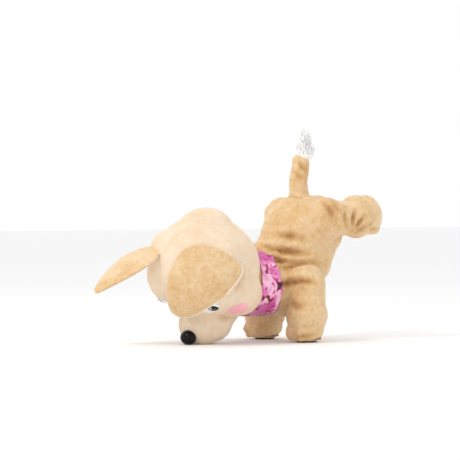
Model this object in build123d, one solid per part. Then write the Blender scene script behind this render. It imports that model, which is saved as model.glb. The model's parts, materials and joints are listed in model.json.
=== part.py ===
"""Interactive plush puppy that tips forward onto its front paws and muzzle.

Millimetres, +Z up. The puppy faces -Y and its left side is +X. The origin is the bottom centre of
the whole toy. It is shown tipped forward: front paws and muzzle on the floor, rump and hind legs up.
Sub-assemblies are drawn in frames of their own, in which a puppy on all fours stands level:
x to its left, y towards its tail, z up. TORSO, HIND and HEAD place those frames.
"""

import os
from math import acos, cos, degrees, pi, radians, sin, sqrt, tan

from build123d import *

# ---------------------------------------------------------------- driving dimensions
# posture, in degrees
TIP_ANGLE = 72.0  # torso pitch, rump up
STAND_TRAVEL = (-66.0, 0.0)  # torso back down to all fours
HIP_ANGLE = 24.0  # hind legs behind their square position
KICK_TRAVEL = (-36.0, 4.0)
HEAD_PITCH, HEAD_TURN, HEAD_LEAN = 67.0, 20.0, 7.0
NOD_TRAVEL = (-15.0, 0.0)
WAG_TRAVEL = (-25.0, 25.0)
EAR_TRAVEL = 30.0

# legs
FRONT_LEG_LENGTH = 60.0  # shoulder axis to tread
HIND_LEG_LENGTH = 67.0
FRONT_TRACK, HIND_TRACK = 36.5, 40.0  # half the distance between the legs
LEG_RADIUS, PAW_RADIUS, PAW_HEIGHT, PAW_ROUND = 19.5, 22.0, 32.0, 13.0
PLUSH_HEM = 1.6  # plush paw above the pad's tread
SOLE_RADIUS, SOLE_THICK = 15.0, 3.0
PAD_RADIUS, PAD_THICK = 10.0, 3.0
POST_WIDTH, POST_DEPTH = 12.0, 16.0
HUB_RADIUS, HUB_LENGTH = 8.5, 24.0
SOLE_SCREW_RADIUS, SOLE_SCREW_HEAD = 1.2, 2.0

# torso
HIP_OFFSET = 69.5  # shoulder axis to hip axis
CHEST_RADIUS = 38.0
RUMP_RADIUS, RUMP_OFFSET = 42.0, 55.0
HOUSING_HALF_WIDTH, HOUSING_WALL = 15.0, 1.6
SHOULDER_CASE_RADIUS, HIP_CASE_RADIUS = 24.5, 17.0
AXLE_RADIUS = 3.0
BUSH_RADIUS, BUSH_LENGTH = 5.0, 3.4
BOSS_WALL = 2.0
CLIP_RADIUS, CLIP_THICK = 5.0, 0.8
HOUSING_POSTS = [(22.0, -14.0), (46.0, -11.5), (38.0, 12.0)]  # y and z in the torso frame
POST_RADIUS, SCREW_RADIUS, SCREW_HEAD_RADIUS, SCREW_HEAD_THICK = 2.6, 1.2, 2.2, 1.2

# gears
GEAR_MODULE, PRESSURE_ANGLE = 1.0, 20.0
ADDENDUM, DEDENDUM = 0.8, 1.15
BACKLASH = 0.2  # taken off each tooth's thickness, at the pitch circle
SHOULDER_TEETH, HIP_TEETH, PINION_TEETH = 42, 24, 14
GEAR_WIDTH, GEAR_PLANE = 5.0, -8.5  # tooth width, and x of its middle
SHOULDER_PINION_AT, HIP_PINION_AT = 20.0, 160.0  # directions from the axles, from +y
SHAFT_RADIUS = 1.5

# motors, batteries and electronics
MOTOR_WIDTH, MOTOR_THICK, MOTOR_LENGTH = 12.0, 10.0, 17.5
CELL_RADIUS, CELL_LENGTH, CELL_COUNT, CELL_TIP = 5.25, 44.5, 3, 1.2
CONTACT_THICK = 0.5
MOTOR_GAP = 1.0  # between a motor and its pinion
SHAFT_IN_MOTOR = 5.0
BATTERY_WALL, CONTACT_ROOM = 1.2, 4.0
BATTERY_START, BATTERY_GAP = 22.5, 0.6  # y of the box's front end, and its gap to the housing
DOOR_SCREW_RADIUS, DOOR_SCREW_HEAD = 1.2, 2.4
BOARD_LENGTH, BOARD_WIDTH, BOARD_THICK = 30.0, 34.0, 1.6
SPEAKER_RADIUS, SPEAKER_DEPTH = 14.0, 6.0
SWITCH_LENGTH, SWITCH_WIDTH, SWITCH_DEPTH = 9.0, 5.0, 3.5
SWITCH_TRAVEL = 2.0
SWITCH_WALL = 1.0

# neck and bandana
NECK_BACK, NECK_FRONT, NECK_RADIUS = -12.0, -66.0, 32.0
BANDANA_BACK, BANDANA_THICK = -32.0, 1.6
NOD_AXIS_Y, NOD_AXIS_Z = -44.0, 61.0
NECK_POST_RADIUS, NOD_PIN_RADIUS = 7.0, 2.5
NECK_EYE_RADIUS, NECK_EYE_HALF = 6.5, 6.0
YOKE_EAR_THICK, YOKE_GAP, YOKE_BRIDGE = 3.5, 0.3, 4.0
NECK_ROOM = 17.0  # radius of the hollow round the neck post

# head, in its own frame
HEAD_CENTRE = (4.0, -106.0, 80.0)
SKULL_RADIUS, SKULL_HALF_WIDTH = 61.0, 62.5
MUZZLE_HALF_LENGTH, MUZZLE_RADIUS = 31.0, 23.5
MUZZLE_FORWARD, MUZZLE_DROP = 50.0, 24.0
SHELL_RADIUS, SHELL_WALL = 46.0, 2.0
EYE_PLACE, EYE_RADIUS, EYE_DEPTH = (29.0, -51.0, 12.0), 9.5, 2.4
CHEEK_PLACE, CHEEK_RADIUS, CHEEK_DEPTH = (42.0, -40.0, -18.0), 12.0, 1.2
NOSE_PLACE, NOSE_RADIUS, NOSE_HALF_WIDTH = (0.0, -74.3, -8.5), 7.6, 8.8
STEM_RADIUS, STEM_LENGTH = 2.0, 13.0
WASHER_RADIUS, WASHER_THICK = 6.0, 1.2
BUTTON_RADIUS, BUTTON_HEIGHT, BUTTON_TRAVEL = 9.0, 5.0, 1.5

# ears
EAR_LENGTH, EAR_WIDTH = 84.0, 62.0
EAR_THICK, EAR_GAP = 4.0, 2.0
LINING_THICK = 1.0
RAISED_EAR_GAP = 3.5  # more room under the root of the ear that stands off the head
LYING_EAR = {"tip": (-0.764, -0.629, 0.144), "face": (0.539, -0.5, 0.678)}  # directions in the head's frame
RAISED_EAR = {"tip": (-0.143, -0.757, 0.637), "face": (-0.667, 0.548, 0.503)}

# tail
TAIL_BEHIND_HIP = 20.5
TAIL_PLACE = (HIP_OFFSET + TAIL_BEHIND_HIP, 10.0)  # y and z in the torso frame
TAIL_RADIUS, TAIL_LENGTH = 9.6, 46.0
TUFT_LENGTH, TUFT_RADIUS, TUFT_TIP_RADIUS = 26.0, 8.5, 2.1
TAIL_PIN_RADIUS, TAIL_HUB_RADIUS, TAIL_HUB_HALF = 1.5, 3.4, 3.0
BRACKET_HALF_WIDTH, BRACKET_EAR = 5.0, 2.0

# fits
RUNNING = 0.05  # radial clearance of a shaft in its bore
MOVING = 0.6  # between plush pieces that move past each other
SEAT = 0.2  # round a part that sits in another
FLUSH = 0.1  # kept between faces that slide on each other

SIDES = {"left": 1, "right": -1}
FAR = 400.0  # larger than the toy
PARTS = {}


# ---------------------------------------------------------------- frames
TORSO = Pos(0, 0, FRONT_LEG_LENGTH) * Rot(TIP_ANGLE, 0, 0)
HIND = TORSO * Pos(0, HIP_OFFSET, 0) * Rot(HIP_ANGLE, 0, 0)
HEAD = Pos(*HEAD_CENTRE) * Rot(0, HEAD_LEAN, 0) * Rot(0, 0, HEAD_TURN) * Rot(HEAD_PITCH, 0, 0)
TAIL_PIVOT = (TORSO * Pos(0, *TAIL_PLACE)).position
NOD_AXIS = Axis((0, NOD_AXIS_Y, NOD_AXIS_Z), (1, 0, 0))
TAIL_AXIS = Axis(TAIL_PIVOT, (0, 1, 0))


# ---------------------------------------------------------------- small helpers
def place(name, where, body):
    """Adds a node: one solid or a list of them, moved from its own frame into the toy's."""
    items = body if isinstance(body, list) else [body]
    PARTS[name] = [where * item for item in items]


def rod(radius, start, end, across=(0.0, 0.0), direction="X"):
    """A round bar from start to end along X, Y or Z; `across` is its place on the other two axes."""
    first, second = across
    bar = Pos(0, 0, (start + end) / 2) * Cylinder(radius, abs(end - start))
    if direction == "X":
        return Pos(0, first, second) * (Rot(0, 90, 0) * bar)
    if direction == "Y":
        return Pos(first, 0, second) * (Rot(-90, 0, 0) * bar)
    return Pos(first, second, 0) * bar


def ball(radius):
    """A ball whose poles and seam keep clear of what is cut from its front, back and top."""
    return Rot(0, 90, 0) * Sphere(radius)


def round_ended(half_length, radius):
    """A bar along X with ball ends: half_length is its tip, radius its girth."""
    straight = half_length - radius
    balls = Pos(straight, 0, 0) * Sphere(radius) + Pos(-straight, 0, 0) * Sphere(radius)
    return balls + rod(radius, -straight, straight)


def cap(height, radius):
    """A ball's cap on the y-z plane: height along +X, radius at its foot."""
    curve = (radius**2 + height**2) / (2 * height)
    return (Pos(height - curve, 0, 0) * ball(curve)) & (Pos(FAR / 2, 0, 0) * Box(FAR, FAR, FAR))


def above(z):
    """Everything over that height."""
    return Pos(0, 0, z + FAR / 2) * Box(FAR, FAR, FAR)


def polar(angle, distance):
    """A point in the y-z plane, at that angle up from +y."""
    return distance * cos(radians(angle)), distance * sin(radians(angle))


def across_x(face, half_width, middle=0.0):
    """A face drawn with y to the right and z up, as a solid that far each side of x = middle."""
    outline = Plane.YZ * face
    return Pos(middle, 0, 0) * extrude(outline, half_width, both=True)


def fan(radius, reach, start, end):
    """Outline that a bar of that radius sweeps about the origin, between two directions."""
    count = 8
    angles = [start + (end - start) * i / count for i in range(count + 1)]
    wedge = Polygon((0, 0), *[polar(angle, reach) for angle in angles], align=None)
    bars = [Rot(0, 0, angle) * Pos(reach / 2, 0) * Rectangle(reach, 2 * radius) for angle in (start, end)]
    return Circle(radius) + wedge + bars


# ---------------------------------------------------------------- gears
def involute_gear(teeth, bore):
    """A spur gear about X, at x = 0, with a tooth centred on +y."""
    pitch = GEAR_MODULE * teeth / 2
    base = pitch * cos(radians(PRESSURE_ANGLE))
    tip = pitch + ADDENDUM * GEAR_MODULE
    root = pitch - DEDENDUM * GEAR_MODULE

    def involute(radius):
        angle = acos(min(base / radius, 1.0))
        return tan(angle) - angle

    half_tooth = pi / (2 * teeth) - BACKLASH / (2 * pitch) + involute(pitch)
    start = max(base, root)
    samples = 5
    radii = [start + (tip - start) * step / samples for step in range(samples + 1)]
    flank = [(radius, half_tooth - involute(radius)) for radius in radii]
    if root < start:
        flank = [(root, half_tooth), *flank]
    points = []
    for tooth in range(teeth):
        centre = 2 * pi * tooth / teeth
        points += [(radius, centre - angle) for radius, angle in flank]
        points += [(radius, centre + angle) for radius, angle in reversed(flank)]
    outline = Polygon(*[(r * cos(a), r * sin(a)) for r, a in points], align=None)
    return across_x(outline - Circle(bore), GEAR_WIDTH / 2)


def pinion_centre(wheel_teeth, wheel_y, direction):
    """y and z of a pinion's centre, in mesh with a wheel on the torso's centre line."""
    y, z = polar(direction, GEAR_MODULE * (wheel_teeth + PINION_TEETH) / 2)
    return wheel_y + y, z


def pinion_phase(wheel_teeth, wheel_phase, direction):
    """The turn that puts a pinion's tooth into the gap that a wheel has at that direction."""
    past_tooth = ((direction - wheel_phase) * wheel_teeth / 360.0) % 1.0
    return direction + 180.0 + (past_tooth - 0.5) * 360.0 / PINION_TEETH


SHOULDER_PINION = pinion_centre(SHOULDER_TEETH, 0.0, SHOULDER_PINION_AT)
HIP_PINION = pinion_centre(HIP_TEETH, HIP_OFFSET, HIP_PINION_AT)


def gear_nodes():
    plane = Pos(GEAR_PLANE, 0, 0)
    place("shoulder_gear", TORSO * plane, involute_gear(SHOULDER_TEETH, AXLE_RADIUS))
    place("hip_gear", TORSO * plane * Pos(0, HIP_OFFSET, 0), involute_gear(HIP_TEETH, AXLE_RADIUS))
    trains = [
        ("tip_pinion", SHOULDER_PINION, SHOULDER_TEETH, SHOULDER_PINION_AT),
        ("kick_pinion", HIP_PINION, HIP_TEETH, HIP_PINION_AT),
    ]
    for name, (y, z), teeth, direction in trains:
        turned = Rot(pinion_phase(teeth, 0.0, direction), 0, 0)
        pinion = plane * turned * involute_gear(PINION_TEETH, SHAFT_RADIUS - FLUSH)
        face = GEAR_PLANE + GEAR_WIDTH / 2
        shaft = rod(SHAFT_RADIUS, face - GEAR_WIDTH, face + SHAFT_IN_MOTOR)
        place(name, TORSO * Pos(0, y, z), pinion + shaft)


# ---------------------------------------------------------------- legs
def leg_shape(length, grow=0.0):
    """Outside of a plush leg: its axle at the origin, its tread at z = -length."""
    paw_middle = -length + PAW_HEIGHT / 2
    column = Sphere(LEG_RADIUS + grow) + rod(LEG_RADIUS + grow, paw_middle, 0, direction="Z")
    puck = Cylinder(PAW_RADIUS + grow, PAW_HEIGHT + 2 * grow)
    paw = Pos(0, 0, paw_middle) * fillet(puck.edges().filter_by(GeomType.CIRCLE), PAW_ROUND)
    return (column + paw) & above(-length + PLUSH_HEM - grow)


def leg_core(length, grow=0.0):
    """Moulded leg: a hub on the axle, a post, and a flange on the sole."""
    sole_top = -length + PAD_THICK + SOLE_THICK
    hub = rod(HUB_RADIUS + grow, -HUB_LENGTH / 2 - grow, HUB_LENGTH / 2 + grow)
    post = Pos(0, 0, sole_top / 2) * Box(POST_WIDTH + 2 * grow, POST_DEPTH + 2 * grow, -sole_top)
    flange = rod(SOLE_RADIUS - SEAT + grow, sole_top, sole_top + SOLE_THICK + grow, direction="Z")
    return hub + post + flange


def leg_nodes(kind, where, track, length):
    """Both legs of a pair. The axle and its clips carry them."""
    sole_bottom = -length + PAD_THICK
    sole_top = sole_bottom + SOLE_THICK
    screw_spot = (PAD_RADIUS + SOLE_RADIUS) / 2
    screw = rod(SOLE_SCREW_RADIUS, sole_bottom, sole_top + SOLE_THICK - FLUSH, direction="Z")
    screw += rod(SOLE_SCREW_HEAD, sole_bottom, sole_bottom + SOLE_THICK / 3, direction="Z")
    screws = [Pos(0, spot, 0) * screw for spot in (screw_spot, -screw_spot)]
    axle_hole = rod(AXLE_RADIUS, -FAR, FAR)
    core = leg_core(length) - axle_hole - screws
    sole = rod(SOLE_RADIUS, sole_bottom, sole_top, direction="Z") - screws
    pad = rod(PAD_RADIUS, -length, sole_bottom, direction="Z")
    room = leg_core(length, SEAT) + rod(SOLE_RADIUS + SEAT, -length, sole_top + SEAT, direction="Z")
    room += rod(CLIP_RADIUS + SEAT, -HUB_LENGTH / 2 - CLIP_THICK - SEAT, HUB_LENGTH / 2 + CLIP_THICK + SEAT)
    plush = leg_shape(length) - room - rod(AXLE_RADIUS + SEAT, -FAR, FAR)
    soles, pads, pair_screws = [], [], []
    for name, side in SIDES.items():
        at = where * Pos(side * track, 0, 0)
        place(f"{kind}_leg_core_{name}", at, core)
        place(f"{kind}_leg_plush_{name}", at, plush)
        soles.append(at * sole)
        pads.append(at * pad)
        pair_screws += [at * item for item in screws]
    place(f"{kind}_soles", Pos(), soles)
    place(f"{kind}_pads", Pos(), pads)
    place(f"{kind}_sole_screws", Pos(), pair_screws)
    half = track + HUB_LENGTH / 2 + CLIP_THICK
    place(f"{kind}_axle", where, rod(AXLE_RADIUS, -half, half))
    clip = rod(CLIP_RADIUS, half - CLIP_THICK, half) - axle_hole
    place(f"{kind}_axle_clips", where, [clip, mirror(clip, Plane.YZ)])


# ---------------------------------------------------------------- gear housing
def case_profile(shrink=0.0):
    """Side outline of the gear housing, round both axles: y to the right, z up."""
    front = SHOULDER_CASE_RADIUS - shrink
    rear = HIP_CASE_RADIUS - shrink
    slope = (front - rear) / HIP_OFFSET
    rise = sqrt(1 - slope**2)
    corners = [
        (front * slope, front * rise),
        (HIP_OFFSET + rear * slope, rear * rise),
        (HIP_OFFSET + rear * slope, -rear * rise),
        (front * slope, -front * rise),
    ]
    return Polygon(*corners, align=None) + Circle(front) + Pos(HIP_OFFSET, 0) * Circle(rear)


def motor_body():
    """A flat-sided gearmotor can, lying along x beside the gears."""
    start = GEAR_PLANE + GEAR_WIDTH / 2 + MOTOR_GAP
    return Pos(start + MOTOR_LENGTH / 2, 0, 0) * Box(MOTOR_LENGTH, MOTOR_WIDTH, MOTOR_THICK)


def housing_nodes():
    inner = HOUSING_HALF_WIDTH - HOUSING_WALL
    shell = across_x(case_profile(), HOUSING_HALF_WIDTH) - across_x(case_profile(HOUSING_WALL), inner)
    bushes = []
    for y in (0.0, HIP_OFFSET):
        for side in (1, -1):
            inside = side * (HOUSING_HALF_WIDTH - BUSH_LENGTH)
            outside = side * HOUSING_HALF_WIDTH
            shell += rod(BUSH_RADIUS + BOSS_WALL, inside, outside, (y, 0))
            bush = rod(BUSH_RADIUS, inside, outside, (y, 0))
            bushes.append(bush - rod(AXLE_RADIUS + RUNNING, -FAR, FAR, (y, 0)))
        shell -= rod(BUSH_RADIUS, -FAR, FAR, (y, 0))
    screws = []
    for post in HOUSING_POSTS:
        screw = rod(SCREW_RADIUS, 2 * SCREW_HEAD_THICK - inner, HOUSING_HALF_WIDTH, post)
        screw += rod(SCREW_HEAD_RADIUS, HOUSING_HALF_WIDTH - SCREW_HEAD_THICK, HOUSING_HALF_WIDTH, post)
        shell += rod(POST_RADIUS, -inner - HOUSING_WALL / 2, inner + HOUSING_WALL / 2, post)
        shell -= screw
        screws.append(screw)
    left_half = Pos(FAR / 2, 0, 0) * Box(FAR, FAR, FAR)
    place("torso_housing_left", TORSO, shell & left_half)
    place("torso_housing_right", TORSO, shell - left_half)
    place("housing_screws", TORSO, screws)
    place("axle_bushes", TORSO, bushes)
    rounding = MOTOR_THICK / 4
    for name, (y, z) in (("tip_motor", SHOULDER_PINION), ("kick_motor", HIP_PINION)):
        can = fillet(motor_body().edges().filter_by(Axis.X), rounding)
        can -= rod(SHAFT_RADIUS + RUNNING, -FAR, FAR)
        place(name, TORSO * Pos(0, y, z), can)


# ---------------------------------------------------------------- battery box
BATTERY_WIDTH = 2 * CELL_RADIUS * CELL_COUNT + 2 * BATTERY_WALL + 2 * SEAT
BATTERY_LENGTH = CELL_LENGTH + 2 * BATTERY_WALL + CONTACT_ROOM
BATTERY_DEPTH = 2 * CELL_RADIUS + 2 * BATTERY_WALL + SEAT
BATTERY_MIDDLE = BATTERY_START + BATTERY_LENGTH / 2
BATTERY = TORSO * Pos(0, BATTERY_MIDDLE, -SHOULDER_CASE_RADIUS - BATTERY_GAP - BATTERY_DEPTH / 2)
SWITCH_SPOT = (BATTERY_WIDTH / 2 - SWITCH_WIDTH, -BATTERY_LENGTH / 2 - SWITCH_DEPTH / 2 - SEAT)


def battery_nodes():
    tray = Pos(0, 0, BATTERY_WALL / 2) * Box(BATTERY_WIDTH, BATTERY_LENGTH, BATTERY_DEPTH - BATTERY_WALL)
    hollow = Box(BATTERY_WIDTH - 2 * BATTERY_WALL, BATTERY_LENGTH - 2 * BATTERY_WALL, BATTERY_DEPTH)
    tray -= Pos(0, 0, -BATTERY_WALL) * hollow
    nut_y = BATTERY_LENGTH / 2 - 2 * BATTERY_WALL
    place("battery_tray", BATTERY, tray)

    door_z = (BATTERY_WALL - BATTERY_DEPTH) / 2
    door = Pos(0, 0, door_z) * Box(BATTERY_WIDTH, BATTERY_LENGTH, BATTERY_WALL)
    screw = rod(DOOR_SCREW_RADIUS, door_z - BATTERY_WALL, door_z + BATTERY_WALL, (0, nut_y), "Z")
    screw += rod(DOOR_SCREW_HEAD, door_z - BATTERY_WALL, door_z - BATTERY_WALL / 2, (0, nut_y), "Z")
    place("battery_door", BATTERY, door - screw)
    place("battery_door_screw", BATTERY, screw)

    cells, contacts = [], []
    half = CELL_LENGTH / 2
    for index in range(CELL_COUNT):
        x = (index - (CELL_COUNT - 1) / 2) * 2 * CELL_RADIUS
        cell = rod(CELL_RADIUS - RUNNING, -half, half - CELL_TIP, (x, 0), "Y")
        cell += rod(CELL_RADIUS / 3, half - CELL_TIP, half, (x, 0), "Y")
        plate_side = 2 * (CELL_RADIUS - BATTERY_WALL)
        plate = Pos(x, half + CONTACT_THICK / 2 + RUNNING, 0) * Box(plate_side, CONTACT_THICK, plate_side)
        spring = rod(CELL_RADIUS / 2, -half - CONTACT_ROOM / 2 + SEAT, -half, (x, 0), "Y")
        spring -= rod(CELL_RADIUS / 3, -half - CONTACT_ROOM, -half + CELL_TIP, (x, 0), "Y")
        turn = Pos() if index % 2 else Pos(2 * x, 0, 0) * Rot(0, 0, 180)
        cells.append(turn * cell)
        contacts += [turn * plate, turn * spring]
    place("battery_cells", BATTERY, cells)
    place("battery_contacts", BATTERY, contacts)

    x, y = SWITCH_SPOT
    body = Pos(x, y, 0) * Box(SWITCH_LENGTH, SWITCH_DEPTH, SWITCH_WIDTH)
    slot_length, slot_depth = SWITCH_LENGTH - 2 * SWITCH_WALL, SWITCH_DEPTH - 2 * SWITCH_WALL
    slot = Pos(x, y, -SWITCH_WIDTH / 2) * Box(slot_length, slot_depth, SWITCH_WIDTH - SWITCH_WALL)
    knob = Box(slot_length - SWITCH_TRAVEL - 2 * SEAT, slot_depth - 2 * SEAT, SWITCH_WIDTH - 2 * SWITCH_WALL)
    knob = Pos(x - SWITCH_TRAVEL / 2, y, -SWITCH_WIDTH / 2 - SWITCH_WALL) * knob
    place("switch_body", BATTERY, body - slot)
    place("switch_slider", BATTERY, knob)


# ---------------------------------------------------------------- plush torso
def torso_outline(grow=0.0):
    """Plush body: chest and rump balls with a cone between them, about the torso's y axis."""
    front, rear = CHEST_RADIUS + grow, RUMP_RADIUS + grow
    slope = (front - rear) / RUMP_OFFSET
    rise = sqrt(1 - slope**2)
    flank = Polygon(
        (front * slope, 0),
        (front * slope, front * rise),
        (RUMP_OFFSET + rear * slope, rear * rise),
        (RUMP_OFFSET + rear * slope, 0),
        align=None,
    )
    body = revolve(flank, Axis.X) + Sphere(front) + Pos(RUMP_OFFSET, 0, 0) * Sphere(rear)
    return Rot(0, 0, 90) * body


def leg_sweep(axle_y, track, length, start, end):
    """What a pair of legs sweeps in the torso's frame as it turns between two directions."""
    reach = length + PAW_RADIUS
    column = fan(LEG_RADIUS + MOVING, reach, start, end)
    paws = fan(PAW_RADIUS + MOVING, reach, start, end) - Circle(length - PAW_HEIGHT - MOVING)
    swept = []
    for side in SIDES.values():
        inner = track - LEG_RADIUS - MOVING
        outer = track + PAW_RADIUS + MOVING
        swept.append(across_x(column, (outer - inner) / 2, side * (outer + inner) / 2))
        paw_inner = track - PAW_RADIUS - MOVING
        swept.append(across_x(paws, (outer - paw_inner) / 2, side * (outer + paw_inner) / 2))
    return [Pos(0, axle_y, 0) * item for item in swept]


def skull_shape(grow=0.0):
    """Outside of the plush skull, in the head's frame."""
    return round_ended(SKULL_HALF_WIDTH + grow, SKULL_RADIUS + grow)


def head_sweep():
    """Room for the skull at both ends of its nod; the wider ball leaves room in between."""
    skull = HEAD * ball(SKULL_HALF_WIDTH + MOVING)
    return [skull.rotate(NOD_AXIS, angle) for angle in NOD_TRAVEL]


def tail_sweep():
    """Room for the tail's root as it wags."""
    girth = TAIL_RADIUS + MOVING
    column = Pos(TAIL_PIVOT) * (Sphere(girth) + rod(girth, 0, TAIL_LENGTH, direction="Z"))
    low, high = WAG_TRAVEL
    count = 5
    return [column.rotate(TAIL_AXIS, low + (high - low) * i / (count - 1)) for i in range(count)]


def torso_room():
    """Hollow in the plush torso for the housing, the battery box, the axles and the neck post."""
    room = across_x(case_profile(-SEAT), HOUSING_HALF_WIDTH + SEAT)
    for y in (0.0, HIP_OFFSET):
        room += rod(AXLE_RADIUS + MOVING, -FAR / 4, FAR / 4, (y, 0))
    room = TORSO * room
    tall = BATTERY_DEPTH + 2 * BATTERY_GAP + 2 * BATTERY_WALL
    box_room = Box(BATTERY_WIDTH + 2 * SEAT, BATTERY_LENGTH + 2 * SEAT, tall)
    room += BATTERY * Pos(0, 0, BATTERY_GAP - BATTERY_WALL) * box_room
    x, y = SWITCH_SPOT
    switch = Box(SWITCH_LENGTH + 2 * SEAT, SWITCH_DEPTH + 2 * SEAT, 2 * SWITCH_WIDTH + 2 * SEAT)
    room += BATTERY * Pos(x, y, -SWITCH_WIDTH / 4) * switch
    room += rod(NECK_ROOM, NECK_FRONT, NECK_BACK, (0, NOD_AXIS_Z), "Y")
    bracket_side = 2 * (BRACKET_HALF_WIDTH + SEAT)
    room += Pos(TAIL_PIVOT) * Pos(0, 0, -TAIL_RADIUS) * Box(bracket_side, bracket_side, 2 * TAIL_RADIUS)
    return room


def torso_nodes():
    tip_start = 270.0 - TIP_ANGLE
    hind_start = 270.0 + HIP_ANGLE
    low, high = KICK_TRAVEL
    neck = rod(NECK_RADIUS, NECK_BACK, NECK_FRONT, (0, NOD_AXIS_Z), "Y")
    plush = TORSO * torso_outline() + neck
    sweeps = leg_sweep(0.0, FRONT_TRACK, FRONT_LEG_LENGTH, tip_start, tip_start - STAND_TRAVEL[0])
    sweeps += leg_sweep(HIP_OFFSET, HIND_TRACK, HIND_LEG_LENGTH, hind_start + low, hind_start + high)
    for sweep in sweeps:
        plush -= TORSO * sweep
    for sweep in head_sweep() + tail_sweep():
        plush -= sweep
    plush -= torso_room()
    place("torso_plush", Pos(), max(plush.solids(), key=lambda solid: solid.volume))

    band_inner = NECK_RADIUS + SEAT
    band_outer = band_inner + BANDANA_THICK
    band = rod(band_outer, BANDANA_BACK, NECK_FRONT, (0, NOD_AXIS_Z), "Y")
    band -= rod(band_inner, 2 * BANDANA_BACK, 2 * NECK_FRONT, (0, NOD_AXIS_Z), "Y")
    band -= rod(band_inner, 0, 2 * NECK_FRONT, (0, NOD_AXIS_Z), "Y")
    band -= TORSO * torso_outline(SEAT)
    for sweep in sweeps:
        band -= TORSO * sweep
    for sweep in head_sweep():
        band -= sweep
    place("bandana", Pos(), max(band.solids(), key=lambda solid: solid.volume))


def neck_nodes():
    """Post on the housing, the pin it carries, and the yoke that holds the head."""
    case = TORSO * across_x(case_profile(), HOUSING_HALF_WIDTH + FLUSH)
    post = rod(NECK_POST_RADIUS, -SHOULDER_CASE_RADIUS / 2, NOD_AXIS_Y, (0, NOD_AXIS_Z), "Y")
    post = post & Box(2 * NECK_EYE_HALF, FAR, FAR)
    foot = Box(HOUSING_HALF_WIDTH, 4 * HOUSING_WALL, HOUSING_HALF_WIDTH)
    post += Pos(0, -SHOULDER_CASE_RADIUS - HOUSING_WALL, NOD_AXIS_Z) * foot
    eye = rod(NECK_EYE_RADIUS, -NECK_EYE_HALF, NECK_EYE_HALF, (NOD_AXIS_Y, NOD_AXIS_Z))
    bore = rod(NOD_PIN_RADIUS + RUNNING, -FAR, FAR, (NOD_AXIS_Y, NOD_AXIS_Z))
    place("neck_post", Pos(), (post + eye) - case - bore)

    inner = NECK_EYE_HALF + YOKE_GAP
    outer = inner + YOKE_EAR_THICK
    place("nod_pin", Pos(), rod(NOD_PIN_RADIUS, -outer, outer, (NOD_AXIS_Y, NOD_AXIS_Z)))
    head_y, head_z = HEAD_CENTRE[1], HEAD_CENTRE[2]
    reach = sqrt((head_y - NOD_AXIS_Y) ** 2 + (head_z - NOD_AXIS_Z) ** 2)
    tilt = degrees(acos((NOD_AXIS_Y - head_y) / reach))
    arm = Pos((inner + outer) / 2, -reach / 2, 0) * Box(YOKE_EAR_THICK, reach, 2 * NECK_EYE_RADIUS)
    arm += rod(NECK_EYE_RADIUS, inner, outer)
    arms = Pos(0, NOD_AXIS_Y, NOD_AXIS_Z) * Rot(-tilt, 0, 0) * (arm + mirror(arm, Plane.YZ))
    bridge = Pos(0, -reach + SHELL_RADIUS, 0) * Box(2 * outer, YOKE_BRIDGE, 2 * NECK_EYE_RADIUS)
    arms += Pos(0, NOD_AXIS_Y, NOD_AXIS_Z) * Rot(-tilt, 0, 0) * bridge
    arms -= Pos(*HEAD_CENTRE) * Sphere(SHELL_RADIUS + FLUSH)
    pin_hole = rod(NOD_PIN_RADIUS, -FAR, FAR, (NOD_AXIS_Y, NOD_AXIS_Z))
    yoke = arms - pin_hole
    place("head_yoke", Pos(), yoke)
    return yoke


# ---------------------------------------------------------------- head
def outward(spot):
    """A frame at a spot on the head, with +X straight out from the head's centre."""
    out = Vector(*spot).normalized()
    return Plane(origin=spot, x_dir=out, z_dir=out.cross(Vector(0, 0, 1))).location


def ear_axes(ear):
    """Unit vectors out of an ear's face and towards its tip."""
    face = Vector(*ear["face"]).normalized()
    tip = Vector(*ear["tip"])
    return face, (tip - face * face.dot(tip)).normalized()


def ear_root(side):
    """Where an ear is sewn to the head; both roots are in mirrored places."""
    face, tip = ear_axes(LYING_EAR)
    root = face * sqrt(SKULL_RADIUS**2 - (EAR_LENGTH / 2) ** 2) - tip * (EAR_LENGTH / 2)
    if side > 0:
        return root
    return Vector(-root.X, root.Y, root.Z) * (1 + RAISED_EAR_GAP / SKULL_RADIUS)


def ear_frame(side):
    """At the centre of an ear's curve: +X through the ear's middle, +Y towards its tip."""
    face, tip = ear_axes(LYING_EAR if side > 0 else RAISED_EAR)
    rise = sqrt(SKULL_RADIUS**2 - (EAR_LENGTH / 2) ** 2)
    centre = ear_root(side) + tip * (EAR_LENGTH / 2) - face * rise
    return Plane(origin=centre, x_dir=face, z_dir=face.cross(tip)).location


def ear_layer(inner, outer):
    """A curved flap between two clearances of the skull's curve, tip towards +Y."""
    layer = Sphere(SKULL_RADIUS + outer) - Sphere(SKULL_RADIUS + inner)
    outline = Plane.YZ * Ellipse(EAR_LENGTH / 2, EAR_WIDTH / 2)
    return layer & extrude(outline, FAR / 4)


def ear_hinge(side):
    """The ear's seam on the head: a point on it, and the direction about which the ear lifts."""
    root = (HEAD * Pos(*ear_root(side))).position
    return root, -Plane(HEAD * ear_frame(side)).z_dir


def snapped_fitting(dome, spot):
    """A moulded dome with its stem through the plush, and the washer that locks it inside."""
    at = outward(spot)
    stem = rod(STEM_RADIUS, -STEM_LENGTH, 0)
    locked = rod(WASHER_RADIUS, -STEM_LENGTH + WASHER_THICK, -STEM_LENGTH + 2 * WASHER_THICK)
    return at * (dome + stem), at * (locked - rod(STEM_RADIUS, -FAR, FAR))


def ears():
    """Both ears and their pale linings, in the toy's frame."""
    made = {}
    for name, side in SIDES.items():
        at = HEAD * ear_frame(side)
        made[f"ear_{name}"] = at * ear_layer(EAR_GAP + LINING_THICK, EAR_GAP + EAR_THICK)
        made[f"ear_lining_{name}"] = at * ear_layer(EAR_GAP, EAR_GAP + LINING_THICK)
    return made


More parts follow.
